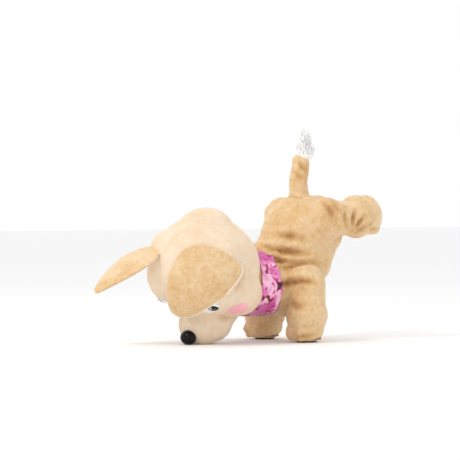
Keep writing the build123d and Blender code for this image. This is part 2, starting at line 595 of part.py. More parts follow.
def head_nodes(yoke):
    muzzle = Rot(0, 0, 90) * round_ended(MUZZLE_HALF_LENGTH, MUZZLE_RADIUS)
    plush = HEAD * (skull_shape() + Pos(0, -MUZZLE_FORWARD, -MUZZLE_DROP) * muzzle)
    plush &= above(0)
    shell = ball(SHELL_RADIUS) - ball(SHELL_RADIUS - SHELL_WALL)
    front = Pos(0, -FAR / 2, 0) * Box(FAR, FAR, FAR)
    room = HEAD * ball(SHELL_RADIUS + SEAT)

    washers, patches = [], []
    fittings = {}
    for name, side in SIDES.items():
        x, y, z = EYE_PLACE
        dome, washer = snapped_fitting(cap(EYE_DEPTH, EYE_RADIUS), (side * x, y, z))
        fittings[f"eye_{name}"] = HEAD * dome
        washers.append(HEAD * washer)
        x, y, z = CHEEK_PLACE
        patch = outward((side * x, y, z)) * rod(CHEEK_RADIUS, -CHEEK_DEPTH, CHEEK_DEPTH)
        patches.append(HEAD * patch)
    x, y, z = NOSE_PLACE
    stem = rod(STEM_RADIUS, y, y + STEM_LENGTH, (x, z), "Y")
    fittings["nose"] = HEAD * (Pos(x, y, z) * round_ended(NOSE_HALF_WIDTH, NOSE_RADIUS) + stem)
    lock = rod(WASHER_RADIUS, y + STEM_LENGTH - 2 * WASHER_THICK, y + STEM_LENGTH - WASHER_THICK, (x, z), "Y")
    washers.append(HEAD * (lock - rod(STEM_RADIUS, -FAR, FAR, (x, z), "Y")))

    crown = SHELL_RADIUS + FLUSH
    button = rod(BUTTON_RADIUS, crown + BUTTON_TRAVEL, crown + BUTTON_TRAVEL + BUTTON_HEIGHT, direction="Z")
    stem = rod(STEM_RADIUS, crown - 2 * SHELL_WALL, crown + BUTTON_TRAVEL, direction="Z")
    shell -= rod(STEM_RADIUS + RUNNING, 0, FAR, direction="Z")
    button_room = rod(BUTTON_RADIUS + SEAT, 0, crown + BUTTON_TRAVEL + BUTTON_HEIGHT + SEAT, direction="Z")

    speaker = Rot(90, 0, 0) * Cylinder(SPEAKER_RADIUS, SPEAKER_DEPTH)
    speaker = Pos(0, -SHELL_RADIUS * cos(pi / 4) + SPEAKER_DEPTH, 0) * speaker
    board = Pos(0, SHELL_RADIUS / 3, 0) * Box(BOARD_WIDTH, BOARD_THICK, BOARD_LENGTH)
    chip = Pos(0, SHELL_RADIUS / 3 + BOARD_THICK, 0) * Box(BOARD_WIDTH / 3, BOARD_THICK, BOARD_WIDTH / 3)

    for item in [*fittings.values(), *washers, *patches]:
        plush -= item
    slot = max(yoke.solids(), key=lambda solid: solid.volume)
    plush -= [room, HEAD * button_room, slot]
    neck_eye = rod(NECK_EYE_RADIUS + MOVING, -NECK_EYE_HALF, NECK_EYE_HALF, (NOD_AXIS_Y, NOD_AXIS_Z))
    neck_bar = rod(NECK_POST_RADIUS + MOVING, 0, NOD_AXIS_Y, (0, NOD_AXIS_Z), "Y")
    for angle in NOD_TRAVEL:
        plush -= neck_bar.rotate(NOD_AXIS, -angle)
    plush -= neck_eye
    place("head_plush", Pos(), max(plush.solids(), key=lambda solid: solid.volume))
    place("head_shell_front", HEAD, shell & front)
    place("head_shell_rear", HEAD, shell - front)
    place("speaker", HEAD, speaker)
    place("circuit_board", HEAD, board + chip)
    place("touch_button", HEAD, button + stem)
    place("snap_washers", Pos(), washers)
    place("cheek_patches", Pos(), patches)
    for name, item in fittings.items():
        place(name, Pos(), item)
    for name, item in ears().items():
        place(name, Pos(), item)


# ---------------------------------------------------------------- tail
def tail_nodes():
    at = Pos(TAIL_PIVOT)
    hub = rod(TAIL_HUB_RADIUS, -TAIL_HUB_HALF, TAIL_HUB_HALF, direction="Y")
    spine = rod(TAIL_PIN_RADIUS, 0, TAIL_LENGTH, direction="Z")
    bore = rod(TAIL_PIN_RADIUS + RUNNING, -FAR, FAR, direction="Y")
    place("tail_lever", at, hub + spine - bore)
    pin_half = TAIL_HUB_HALF + SEAT + BRACKET_EAR
    place("tail_pin", at, rod(TAIL_PIN_RADIUS, -pin_half, pin_half, direction="Y"))
    inner = TAIL_HUB_HALF + SEAT
    base = TAIL_HUB_RADIUS + SEAT
    ear = Pos(0, inner + BRACKET_EAR / 2, -base / 2) * Box(2 * TAIL_HUB_RADIUS, BRACKET_EAR, base)
    ear += rod(TAIL_HUB_RADIUS, inner, inner + BRACKET_EAR, direction="Y")
    foot_height = TAIL_RADIUS - base
    foot = Pos(0, 0, -base - foot_height / 2) * Box(2 * BRACKET_HALF_WIDTH, 2 * pin_half, foot_height)
    bracket = at * (ear + mirror(ear, Plane.XZ) + foot - rod(TAIL_PIN_RADIUS, -FAR, FAR, direction="Y"))
    case = TORSO * across_x(case_profile(), HOUSING_HALF_WIDTH + FLUSH)
    place("tail_bracket", Pos(), bracket - case)

    plush = Sphere(TAIL_RADIUS) + rod(TAIL_RADIUS, 0, TAIL_LENGTH, direction="Z")
    plush -= Pos(0, 0, -TAIL_RADIUS) * Box(FAR, FAR, 2 * TAIL_RADIUS - FLUSH)
    room = rod(TAIL_HUB_RADIUS + MOVING, -TAIL_RADIUS, TAIL_RADIUS, direction="Y")
    plush -= [room, rod(TAIL_PIN_RADIUS, -FAR, TAIL_LENGTH, direction="Z")]
    place("tail_plush", at, max(plush.solids(), key=lambda solid: solid.volume))
    tuft = Cone(TUFT_RADIUS, TUFT_TIP_RADIUS, TUFT_LENGTH)
    place("tail_tuft", at * Pos(0, 0, TAIL_LENGTH + TUFT_LENGTH / 2), tuft)


# ---------------------------------------------------------------- build
def build():
    """Makes every node, and moves the whole toy so that its box's bottom centre is the origin."""
    gear_nodes()
    leg_nodes("front", Pos(0, 0, FRONT_LEG_LENGTH), FRONT_TRACK, FRONT_LEG_LENGTH)
    leg_nodes("hind", HIND, HIND_TRACK, HIND_LEG_LENGTH)
    housing_nodes()
    battery_nodes()
    torso_nodes()
    head_nodes(neck_nodes())
    tail_nodes()
    everything = [solid for solids in PARTS.values() for item in solids for solid in item.solids()]
    box = Compound(everything).bounding_box()
    middle = box.center()
    return Pos(-middle.X, -middle.Y, -box.min.Z)


SHIFT = build()
os.makedirs("parts", exist_ok=True)
for node, solids in PARTS.items():
    pieces = [SHIFT * solid for item in solids for solid in item.solids()]
    shape = pieces[0] if len(pieces) == 1 else Compound(pieces)
    export_step(shape, f"parts/{node}.step")
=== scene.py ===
# %% [markdown]
# # A plush puppy that tips forward onto its paws and muzzle
# The toy is a jointed plastic mechanism inside soft velvety skins. The mechanism comes with the
# frame. This lesson adds the skins, ears, bandana, eyes and nose around it, each as its own piece
# that rides on a moving body of the frame. Lengths below are in millimetres until they are placed.

# %% Load the frame
import json
import math

import bpy
import numpy as np
from mathutils import Matrix, Vector, noise

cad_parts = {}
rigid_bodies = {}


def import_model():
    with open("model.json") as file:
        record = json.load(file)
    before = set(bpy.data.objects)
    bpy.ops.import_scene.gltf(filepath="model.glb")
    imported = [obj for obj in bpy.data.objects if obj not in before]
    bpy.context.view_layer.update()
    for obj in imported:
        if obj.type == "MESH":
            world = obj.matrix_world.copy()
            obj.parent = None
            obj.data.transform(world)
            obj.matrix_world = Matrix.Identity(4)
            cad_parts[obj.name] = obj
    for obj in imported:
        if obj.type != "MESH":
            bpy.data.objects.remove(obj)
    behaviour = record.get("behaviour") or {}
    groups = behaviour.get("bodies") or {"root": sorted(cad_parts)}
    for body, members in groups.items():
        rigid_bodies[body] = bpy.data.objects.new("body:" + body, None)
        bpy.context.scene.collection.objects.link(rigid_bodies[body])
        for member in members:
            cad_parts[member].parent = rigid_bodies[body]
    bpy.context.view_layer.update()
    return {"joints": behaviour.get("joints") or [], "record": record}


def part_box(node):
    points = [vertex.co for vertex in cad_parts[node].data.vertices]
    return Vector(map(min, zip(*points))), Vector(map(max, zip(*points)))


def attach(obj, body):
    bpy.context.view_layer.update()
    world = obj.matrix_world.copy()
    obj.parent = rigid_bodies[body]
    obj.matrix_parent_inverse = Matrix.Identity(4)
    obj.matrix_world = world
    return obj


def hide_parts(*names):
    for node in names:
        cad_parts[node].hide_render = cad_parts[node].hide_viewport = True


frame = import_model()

MM = 0.001
joints = {joint["name"]: joint for joint in frame["joints"]}
print("joints:", ", ".join(joints))

# %% [markdown]
# ## Places
# Every sub-assembly gets a small coordinate system of its own, read from the frame's joints, in
# which the puppy stands level: x to its left, y to its tail, z up. A point given in one of them
# is turned into the toy's own frame by its matrix, so no piece is ever fitted by eye.

# %% Sub-assembly frames
def axes_at(origin, x_axis, y_axis):
    """Matrix from millimetres in a sub-assembly's frame to metres in the toy's frame."""
    x = Vector(x_axis).normalized()
    y = (Vector(y_axis) - Vector(y_axis).dot(x) * x).normalized()
    turn = Matrix((x, y, x.cross(y))).transposed().to_4x4()
    return Matrix.Translation(origin) @ turn @ Matrix.Scale(MM, 4)


def joint_place(name):
    return Vector(joints[name]["pos_m"])


def box_centre(*nodes):
    corners = [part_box(node) for node in nodes]
    low = Vector([min(pair[0][i] for pair in corners) for i in range(3)])
    high = Vector([max(pair[1][i] for pair in corners) for i in range(3)])
    return (low + high) / 2


LEFT = Vector((1, 0, 0))
UP = Vector((0, 0, 1))
shoulder, hip = joint_place("tip_over"), joint_place("hind_kick")
TORSO = axes_at(shoulder, LEFT, hip - shoulder)
LEGS = axes_at(shoulder, LEFT, (0, 1, 0))
hind_way = box_centre("hind_pads") - hip
HIND = axes_at(hip, LEFT, LEFT.cross(hind_way))

head_centre = box_centre("head_shell_front", "head_shell_rear")
head_up = -Vector(joints["button_press"]["axis"])
head_left = head_up.cross(box_centre("nose") - head_centre)
HEAD = axes_at(head_centre, head_left, head_up.cross(head_left))
TAIL = axes_at(joint_place("tail_wag"), LEFT, (0, 1, 0))
print("head at", [round(v, 4) for v in head_centre], "hind legs reach", round(hind_way.length, 4), "m")

# %% [markdown]
# ## Tools of the bench
# A plush skin starts as a few rounded lumps, like the stuffing inside it. Metaballs would join
# them too, but a voxel remesh keeps each lump's exact size. Smoothing after it turns the hard
# meeting lines into the soft valleys of sewn cloth.

# %% Lumps that are joined into one skin
def only(piece):
    """Selects one object and makes it active."""
    bpy.ops.object.select_all(action="DESELECT")
    piece.select_set(True)
    bpy.context.view_layer.objects.active = piece
    return piece


def settle(piece):
    """Applies the object's place, turn and size, so that its origin is the toy's."""
    only(piece)
    bpy.ops.object.transform_apply(location=True, rotation=True, scale=True)
    return piece


def lump(where, at, radii, segments=32, turn=(0, 0, 0)):
    """One ball of stuffing: centre and three radii in a sub-assembly's frame."""
    bpy.ops.mesh.primitive_uv_sphere_add(segments=segments, ring_count=segments // 2, radius=1)
    ball = bpy.context.object
    turned = Matrix.Identity(4)
    for degrees, axis in zip(turn, "XYZ"):
        turned = turned @ Matrix.Rotation(math.radians(degrees), 4, axis)
    ball.matrix_world = where @ Matrix.Translation(at) @ turned @ Matrix.Diagonal((*radii, 1))
    return settle(ball)


def bar(where, start, end, radius, radius_end=None):
    """A round column between two points of a sub-assembly's frame."""
    start, end = where @ Vector(start), where @ Vector(end)
    way = end - start
    tip = (radius if radius_end is None else radius_end) * MM
    bpy.ops.mesh.primitive_cone_add(vertices=40, radius1=radius * MM, radius2=tip, depth=way.length)
    column = bpy.context.object
    turned = way.to_track_quat("Z", "Y").to_matrix().to_4x4()
    column.matrix_world = Matrix.Translation((start + end) / 2) @ turned
    return settle(column)


def modify(piece, kind, **values):
    """Adds a modifier, sets its values and applies it."""
    only(piece)
    modifier = piece.modifiers.new(kind.title(), kind)
    for key, value in values.items():
        setattr(modifier, key, value)
    bpy.ops.object.modifier_apply(modifier=modifier.name)
    return piece


def skin(name, lumps, voxel=2.0, rounds=12):
    """Joins lumps into one closed skin and softens the valleys between them."""
    only(lumps[0])
    for part in lumps:
        part.select_set(True)
    bpy.ops.object.join()
    piece = bpy.context.object
    piece.name = piece.data.name = name
    modify(piece, "REMESH", mode="VOXEL", voxel_size=voxel * MM)
    modify(piece, "SMOOTH", factor=0.5, iterations=rounds)
    bpy.ops.object.shade_smooth()
    return piece


def points_of(piece):
    co = np.empty(len(piece.data.vertices) * 3)
    piece.data.vertices.foreach_get("co", co)
    return co.reshape(-1, 3)


def normals_of(piece):
    normal = np.empty(len(piece.data.vertices) * 3)
    piece.data.vertices.foreach_get("normal", normal)
    return normal.reshape(-1, 3)


def move_points(piece, co):
    piece.data.vertices.foreach_set("co", np.ascontiguousarray(co).ravel())
    piece.data.update()


# %% [markdown]
# ## Folds
# Where a limb bends, the cloth is pushed into a crease with a soft roll of cloth on each side. A
# brush in sculpt mode would do it by hand; here the brush follows a short line of points. Each
# crease also leaves a mark in a point attribute. From it the cloth's material takes a deeper
# colour along the crease, as painted shade in the crease.

# %% A crease brush
def smooth_line(points, steps=10):
    """Points along a soft curve through the given ones."""
    points = [np.array(point, float) for point in points]
    points = [2 * points[0] - points[1], *points, 2 * points[-1] - points[-2]]
    line = []
    for a, b, c, d in zip(points, points[1:], points[2:], points[3:]):
        for step in range(steps):
            t = step / steps
            bow, twist = 2 * a - 5 * b + 4 * c - d, 3 * b - a - 3 * c + d
            line.append(0.5 * (2 * b + (c - a) * t + bow * t**2 + twist * t**3))
    line.append(points[-2])
    return np.array(line)


def crease(piece, where, points, depth=2.5, width=3.0, roll=0.5):
    """Pushes the skin in along a line, with a roll on each side; depth and width in millimetres."""
    line = smooth_line([where @ Vector(point) for point in points])
    co, normal = points_of(piece), normals_of(piece)
    gap = np.full(len(co), 1e9)
    along = np.zeros(len(co))
    for index, spot in enumerate(line):
        away = np.linalg.norm(co - spot, axis=1)
        nearer = away < gap
        gap[nearer] = away[nearer]
        along[nearer] = index / (len(line) - 1)
    fade = np.sin(np.pi * np.clip(along, 0.04, 0.96)) ** 0.6
    reach = gap / (width * MM)
    shape = -np.exp(-(reach**2)) + roll * np.exp(-((reach - 1.9) ** 2) / 0.7)
    move_points(piece, co + normal * (shape * fade * depth * MM)[:, None])
    # The crease's mark is painted shade: the plush material darkens the cloth where it is strong.
    marks = piece.data.attributes.get("fold") or piece.data.attributes.new("fold", "FLOAT", "POINT")
    old = np.empty(len(co))
    marks.data.foreach_get("value", old)
    dark = np.exp(-((gap / (width * MM * 1.2)) ** 2)) * fade * min(1.0, depth / 3)
    marks.data.foreach_set("value", np.maximum(old, dark))
    return piece


def rumple(piece, size=16.0, depth=0.5, seed=0.0):
    """Gentle unevenness of stuffed cloth."""
    co, normal = points_of(piece), normals_of(piece)
    offset = Vector((seed, 2 * seed, 3 * seed))
    waves = np.array([noise.noise(Vector(spot) / (size * MM) + offset) for spot in co])
    move_points(piece, co + normal * (waves * depth * MM)[:, None])
    return piece

# %% [markdown]
# ## Cloth with a short pile
# The skins are a short velvety plush. Its colour drifts at random between cream, where the pile lies
# flat and shines, and tan, and it is painted a deeper tan in the folds as painted shade. Sheen gives
# the pale edge that light makes on pile, and two sizes of noise give the brushed drift and the single
# tufts.

# %% Plush material
def material(name):
    made = bpy.data.materials.new(name)
    made.use_nodes = True
    nodes = made.node_tree.nodes
    return made, nodes, made.node_tree.links, nodes["Principled BSDF"]


def node(nodes, kind, **values):
    made = nodes.new("ShaderNode" + kind)
    for key, value in values.items():
        if hasattr(made, key):
            setattr(made, key, value)
        else:
            made.inputs[key.replace("_", " ")].default_value = value
    return made


def ramp(nodes, *stops):
    made = nodes.new("ShaderNodeValToRGB")
    elements = made.color_ramp.elements
    while len(elements) < len(stops):
        elements.new(0.5)
    for element, (position, colour) in zip(elements, stops):
        element.position = position
        element.color = (*colour, 1)
    return made


def plush(name, pale, middle, deep, sheen=0.5, tuft=900.0):
    """Short pile: three colours from flat pile to the painted shade in the folds, tuft size per metre."""
    made, nodes, links, shader = material(name)
    place = node(nodes, "TexCoord")
    drift = node(nodes, "TexNoise", Scale=38.0, Detail=3.0, Roughness=0.55, Distortion=0.6)
    brushed = node(nodes, "TexNoise", Scale=210.0, Detail=3.0, Roughness=0.6)
    tufts = node(nodes, "TexNoise", Scale=tuft, Detail=2.0, Roughness=0.7)
    for texture in (drift, brushed, tufts):
        links.new(place.outputs["Object"], texture.inputs["Vector"])
    calm = node(nodes, "Math", operation="MULTIPLY_ADD")
    links.new(drift.outputs["Fac"], calm.inputs[0])
    calm.inputs[1].default_value = 0.55
    calm.inputs[2].default_value = 0.24
    mix = node(nodes, "Math", operation="MULTIPLY_ADD")
    links.new(brushed.outputs["Fac"], mix.inputs[0])
    mix.inputs[1].default_value = 0.45
    links.new(calm.outputs[0], mix.inputs[2])
    fine = node(nodes, "Math", operation="MULTIPLY_ADD")
    links.new(tufts.outputs["Fac"], fine.inputs[0])
    fine.inputs[1].default_value = 0.3
    links.new(mix.outputs[0], fine.inputs[2])
    # The fold marks pull the colour down the ramp towards the deep end: painted shade in the creases.
    fold = node(nodes, "Attribute", attribute_name="fold")
    darken_by_fold_shade = node(nodes, "Math", operation="MULTIPLY_ADD")
    links.new(fold.outputs["Fac"], darken_by_fold_shade.inputs[0])
    darken_by_fold_shade.inputs[1].default_value = -0.48
    links.new(fine.outputs[0], darken_by_fold_shade.inputs[2])
    # The ramp's deep end shows mostly where the fold marks paint shade; the noise alone seldom reaches it.
    colours = ramp(nodes, (0.30, deep), (0.78, middle), (1.0, pale))
    links.new(darken_by_fold_shade.outputs[0], colours.inputs["Fac"])
    links.new(colours.outputs["Color"], shader.inputs["Base Color"])
    bump = node(nodes, "Bump", Strength=0.55, Distance=0.0006)
    links.new(fine.outputs[0], bump.inputs["Height"])
    links.new(bump.outputs["Normal"], shader.inputs["Normal"])
    shader.inputs["Roughness"].default_value = 0.95
    shader.inputs["Specular IOR Level"].default_value = 0.15
    shader.inputs["Sheen Weight"].default_value = sheen
    shader.inputs["Sheen Roughness"].default_value = 0.45
    shader.inputs["Sheen Tint"].default_value = (1.0, 0.93, 0.82, 1)
    return made


TAN = plush("tan_plush", (0.78, 0.58, 0.36), (0.67, 0.43, 0.20), (0.27, 0.09, 0.02))
# The head's cream is a paler copy of the tan plush: painted light for the brightly lit head, set off from
# the tan ears.
LIT_CREAM = plush("cream_plush", (0.82, 0.68, 0.52), (0.76, 0.58, 0.40), (0.42, 0.22, 0.09))
PALE = plush("pale_plush", (0.95, 0.90, 0.84), (0.90, 0.81, 0.72), (0.72, 0.58, 0.46))
print("materials:", TAN.name, PALE.name)

# %% [markdown]
# ## The head
# A big round head is what makes it a puppy. It is sewn from side panels with a full brow, soft
# cheeks and a short muzzle. One ball for each keeps the fullness of its panel.

# %% Head skin
head_skin = skin("head_skin", [
    lump(HEAD, (0, 0, 0), (56, 52.5, 56), segments=48),
    lump(HEAD, (-1, 25, 14), (33, 33, 31)),
    lump(HEAD, (33, 6, 23), (20, 21, 20)),
    lump(HEAD, (-33, 6, 23), (20, 21, 20)),
    lump(HEAD, (-24, -18, 13), (29, 29, 29)),
    lump(HEAD, (21, -17, 11), (29, 29, 29)),
    lump(HEAD, (31, -15, -24), (26, 25, 25)),
    lump(HEAD, (-31, -15, -24), (26, 25, 25)),
    lump(HEAD, (13, -34, -29), (21, 21, 20)),
    lump(HEAD, (-13, -34, -29), (21, 21, 20)),
    lump(HEAD, (10, -50, -30), (20, 20, 19)),
    lump(HEAD, (-10, -50, -30), (20, 20, 19)),
    lump(HEAD, (0, -46, -23), (25, 24, 23)),
    lump(HEAD, (0, -55, -24), (24.5, 24, 22.5)),
], voxel=1.7, rounds=12)
rumple(head_skin, size=34, depth=1.1, seed=3)
print("head skin:", len(head_skin.data.polygons), "faces")

# %% [markdown]
# ## The body
# Chest, belly and rump are one bag of cloth, sewn to the neck in front and to the tail behind.
# Cloth also bridges the nape, because the bag is wider than the mechanism it covers. A flap of
# the same cloth lies over the battery door on the belly, so the belly is closed and full here.

# %% Torso skin
torso_skin = skin("torso_skin", [
    lump(TORSO, (0, 0, 0), (35, 35, 35), segments=48),
    lump(TORSO, (0, 20, 0), (37, 34, 35)),
    lump(TORSO, (0, 38, 0), (39, 35, 36)),
    lump(TORSO, (0, 55, 0), (41, 41, 37.5), segments=48),
    lump(TORSO, (0, 47, -6), (32, 35, 41)),
    lump(TORSO, (24, 1, 0), (27, 25, 24)),
    lump(TORSO, (-24, 1, 0), (27, 25, 24)),
    lump(TORSO, (0, 29, -22), (29, 24, 22)),
    lump(TORSO, (10, 63, -22), (20, 23, 24)),
    lump(TORSO, (-10, 63, -22), (20, 23, 24)),
    lump(TORSO, (25, 68, -4), (26, 22, 23)),
    lump(TORSO, (-24, 68, -4), (25, 22, 23)),
    lump(LEGS, (0, -9, 45), (25, 19, 18)),
    lump(LEGS, (0, -24, 34), (22, 14, 12)),
    lump(TAIL, (0, 0, -2), (13, 13, 11)),
    bar(LEGS, (0, 6, 1), (0, -62, 1), 31),
], voxel=1.7, rounds=12)
rumple(torso_skin, size=26, depth=1.0, seed=7)
print("torso skin:", len(torso_skin.data.polygons), "faces")

# %% [markdown]
# ## Legs
# The four legs are cut from the same pattern: a straight tube that ends in a rounded paw with
# three small toes in front. The hind ones are pinched at the ankle, where the cloth folds as
# they kick up. Each skin rides on the axle's body, so it turns with the moulded leg inside.

# %% Leg skins
def front_leg(x, length):
    return [
        lump(LEGS, (x, 0, 0), (19.5, 19.5, 19.5)),
        bar(LEGS, (x, 0, 0), (x, 0, -length + 26), 19, 19.5),
        lump(LEGS, (x, 0, -length + 26), (22, 22, 22)),
        lump(LEGS, (x, -1, -length + 13), (19, 19.5, 17)),
        *[lump(LEGS, (x + toe, -13.5, -length + 9), (6.5, 7, 9)) for toe in (-8, 0, 8)],
    ]


def hind_leg(x, length):
    return [
        lump(HIND, (x * 0.93, 1, -5), (20.5, 23, 21)),
        bar(HIND, (x * 0.95, 1, -6), (x, -0.5, -27), 21, 17.5),
        bar(HIND, (x, -0.5, -27), (x, -1, -40), 17.5, 21),
        lump(HIND, (x, -0.5, -length + 24), (22, 23, 20)),
        lump(HIND, (x, -0.3, -length + 12), (20, 21.5, 17.5)),
        *[lump(HIND, (x + toe, -14, -length + 10), (6.5, 7.5, 9)) for toe in (-8, 0, 8)],
    ]


SIDES = {"left": 1, "right": -1}
HEM = 1.6
front_low, front_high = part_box("front_pads")
front_track = (front_high.x - front_low.x - (front_high.y - front_low.y)) / 2 / MM
HIND_LEGS_WIDER = 3.5
hind_track = front_track + HIND_LEGS_WIDER
front_reach = shoulder.z / MM - HEM
hind_reach = hind_way.length / MM
legs = {}
for name, side in SIDES.items():
    front_lumps = front_leg(side * front_track, front_reach)
    legs["front", name] = skin(f"front_leg_skin_{name}", front_lumps, voxel=1.4, rounds=6)
    hind_lumps = hind_leg(side * hind_track, hind_reach)
    legs["hind", name] = skin(f"hind_leg_skin_{name}", hind_lumps, voxel=1.4, rounds=6)
for (kind, name), leg in legs.items():
    rumple(leg, size=15, depth=0.6, seed=11 if kind == "front" else 17)
    print(leg.name, len(leg.data.polygons), "faces")

# %% [markdown]
# ## The tail
# The tail is a stuffed tube that leans and has a twist in it where it was turned right side out.
# Its tip is a lock of long white pile. The lock is a soft core with single strands over it.

# %% Tail skin and white lock
tail_skin = skin("tail_skin", [
    lump(TAIL, (0, 0, 1), (10, 10, 9)),
    bar(TAIL, (0, 0, 0), (-1, -1, 20), 10.6, 9.6),
    bar(TAIL, (-1, -1, 18), (1, 1, 36), 9.8, 9.2),
    lump(TAIL, (1, 1, 38), (9.3, 9.3, 10)),
], voxel=1.0, rounds=6)
rumple(tail_skin, size=10, depth=0.5, seed=5)
tail_tip = skin("tail_tip", [
    lump(TAIL, (3.5, 4.5, 46), (8, 8, 6)),
    bar(TAIL, (3.5, 4.5, 47), (3.5, 4.5, 66), 7.5, 1.6),
], voxel=1.0, rounds=3)


def strands(name, core, seeds, length, thick, way, seed):
    """Tapered three-sided strands that stand on a core's surface and lean one way."""
    chance = np.random.default_rng(seed)
    core_co, core_normal = points_of(core), normals_of(core)
    picked = chance.choice(len(core_co), seeds, replace=len(core_co) < seeds)
    verts, faces = [], []
    for index in picked:
        lean = core_normal[index] * 0.45 + np.array(way) + chance.normal(0, 0.16, 3)
        lean /= np.linalg.norm(lean)
        side = np.cross(lean, core_normal[index] + 0.01)
        side /= np.linalg.norm(side)
        across = np.cross(lean, side)
        reach = length * chance.uniform(0.55, 1.0)
        root = core_co[index] - core_normal[index] * 0.3 * MM
        start = len(verts)
        for step, girth in ((0.0, 1.0), (0.55, 0.75)):
            spot = root + lean * reach * step + core_normal[index] * reach * 0.10 * step
            for turn in (0, 2.094, 4.189):
                verts.append(spot + (side * math.cos(turn) + across * math.sin(turn)) * thick * girth)
        verts.append(root + lean * reach)
        for k in range(3):
            after = (k + 1) % 3
            faces.append((start + k, start + after, start + 3 + after, start + 3 + k))
            faces.append((start + 3 + k, start + 3 + after, start + 6))
    mesh = bpy.data.meshes.new(name)
    mesh.from_pydata([tuple(v) for v in verts], [], faces)
    piece = bpy.data.objects.new(name, mesh)
    bpy.context.collection.objects.link(piece)
    only(piece)
    bpy.ops.object.mode_set(mode="EDIT")
    bpy.ops.mesh.select_all(action="SELECT")
    bpy.ops.mesh.normals_make_consistent(inside=False)
    bpy.ops.object.mode_set(mode="OBJECT")
    bpy.ops.object.shade_smooth()
    return piece


tail_hairs = strands("tail_tip_hairs", tail_tip, 260, 11 * MM, 1.1 * MM, (0.05, 0.05, 2.6), seed=4)
print("tail:", len(tail_skin.data.polygons), "faces,", len(tail_hairs.data.polygons), "strand faces")

# %% [markdown]
# ## Where the cloth folds
# The tipped body folds at the nape and behind the shoulders, the raised hind legs fold the rump
# and their own ankles, and the tail has its twist. Each fold is a short line on one skin. The
# legs' folds are mirrored, since both are sewn and bent alike. The muzzle and the paws are
# pressed flat last, where the floor and the moulded soles stop the cloth.

# %% The folds
BODY_FOLDS = [
    ([(2.1, 29.1, 49.0), (15.5, 26.2, 45.0), (21.0, 26.6, 30.2), (30.7, 28.0, 19.3), (36.7, 29.4, 8.1)],
     3.6, 3.4),
    ([(1.5, 43.4, 45.0), (16.7, 41.9, 40.0), (25.4, 43.5, 28.3), (35.1, 43.0, 16.7)], 2.4, 3.2),
    ([(16.3, 15.2, 42.0), (22.4, 15.4, 27.8), (32.8, 21.4, 16.1)], 2.4, 2.8),
    ([(25.9, 8.8, 28.4), (30.8, 13.6, 20.2), (37.1, 19.8, 10.8), (36.0, 23.5, -8.3)], 3.6, 3.2),
    ([(30.9, -11.8, 32.5), (33.3, -5.2, 21.5), (45.5, -1.3, 13.5), (50.1, 1.9, -3.7)], 3.4, 3.2),
    ([(33.9, 86.3, 7.6), (44.4, 78.3, 5.4), (48.9, 70.3, -0.5), (47.0, 62.1, -8.9)], 2.8, 3.0),
    ([(-1.0, 89.3, 22.0), (8.0, 88.0, 21.0), (14.2, 86.8, 19.5)], 1.6, 2.4),
]
HIND_FOLDS = [
    ([(53.1, 11.5, -15.9), (56.7, 1.7, -10.6), (52.7, -9.4, -15.4)], 2.6, 2.8),
    ([(48.0, -13.4, -22.7), (55.7, -2.7, -21.6), (55.6, 7.1, -28.2)], 3.0, 2.4),
    ([(46.6, -13.9, -26.5), (55.6, -6.7, -29.4), (61.1, 0.9, -36.5)], 2.6, 2.2),
    ([(47.6, -14.1, -28.4), (56.1, -11.4, -33.9), (59.9, -7.4, -44.8)], 2.4, 2.2),
    ([(56.6, -13.2, -40.1), (53.8, -14.7, -53.1), (53.0, -14.5, -60.6)], 1.6, 2.2),
    ([(41.7, 20.9, 3.4), (52.3, 9.3, 2.4), (54.3, -6.0, -3.7)], 2.8, 3.0),
    ([(43.8, 21.1, -4.2), (53.3, 11.8, -3.7), (56.5, -1.2, -7.8)], 2.0, 2.6),
]
FRONT_FOLDS = [
    ([(37.2, -19.9, -52.0), (49.9, -15.3, -53.6), (53.7, -1.3, -51.8)], 1.6, 2.4),
    ([(22.5, 13.0, -38.0), (27.4, 14.6, -44.5), (33.0, 18.5, -50.7)], 2.2, 2.6),
    ([(32.1, -18.6, -16.0), (42.5, -18.7, -21.8), (49.7, -13.9, -24.8)], 1.4, 2.8),
    ([(25.5, -11.9, 10.6), (27.5, -8.4, 15.0), (33.2, -0.5, 19.0), (40.7, 9.0, 16.8)], 2.0, 2.6),
    ([(23.8, -14.3, -1.5), (36.2, -19.1, 1.8), (49.5, -13.7, 4.1), (55.4, -2.6, 2.0)], 3.0, 3.0),
]
TAIL_FOLDS = [
    ([(5.8, -6.3, 39.8), (8.8, -3.3, 33.5), (8.8, 3.4, 26.2)], 1.8, 2.2),
    ([(1.0, -9.2, 30.3), (6.8, -7.0, 24.0), (9.1, -0.9, 20.9)], 1.4, 2.0),
]
# Both head creases also paint shade into the head's colour; the second runs along the edge of the ear and
# paints its contact shadow.
HEAD_FOLDS = [
    ([(22.4, -46.9, -12.2), (28.2, -44.9, -22.0), (31.9, -40.4, -34.0)], 1.6, 3.0),
    ([(52.7, 5.0, 19.9), (54.1, -2.6, 11.4), (53.0, -12.4, 8.0), (48.9, -23.1, 9.3), (42.6, -32.7, 9.4)],
     1.2, 3.0),
]


def fold_all(piece, where, folds, sides=(1,)):
    for side in sides:
        for points, depth, width in folds:
            crease(piece, where, [(side * x, y, z) for x, y, z in points], depth, width)


def flatten_paw(leg, where, bottom):
    """Presses the cloth flat where the moulded sole ends."""
    local = np.c_[points_of(leg), np.ones(len(leg.data.vertices))] @ np.array(where.inverted()).T
    local[:, 2] = np.maximum(local[:, 2], bottom)
    move_points(leg, (local @ np.array(where).T)[:, :3])


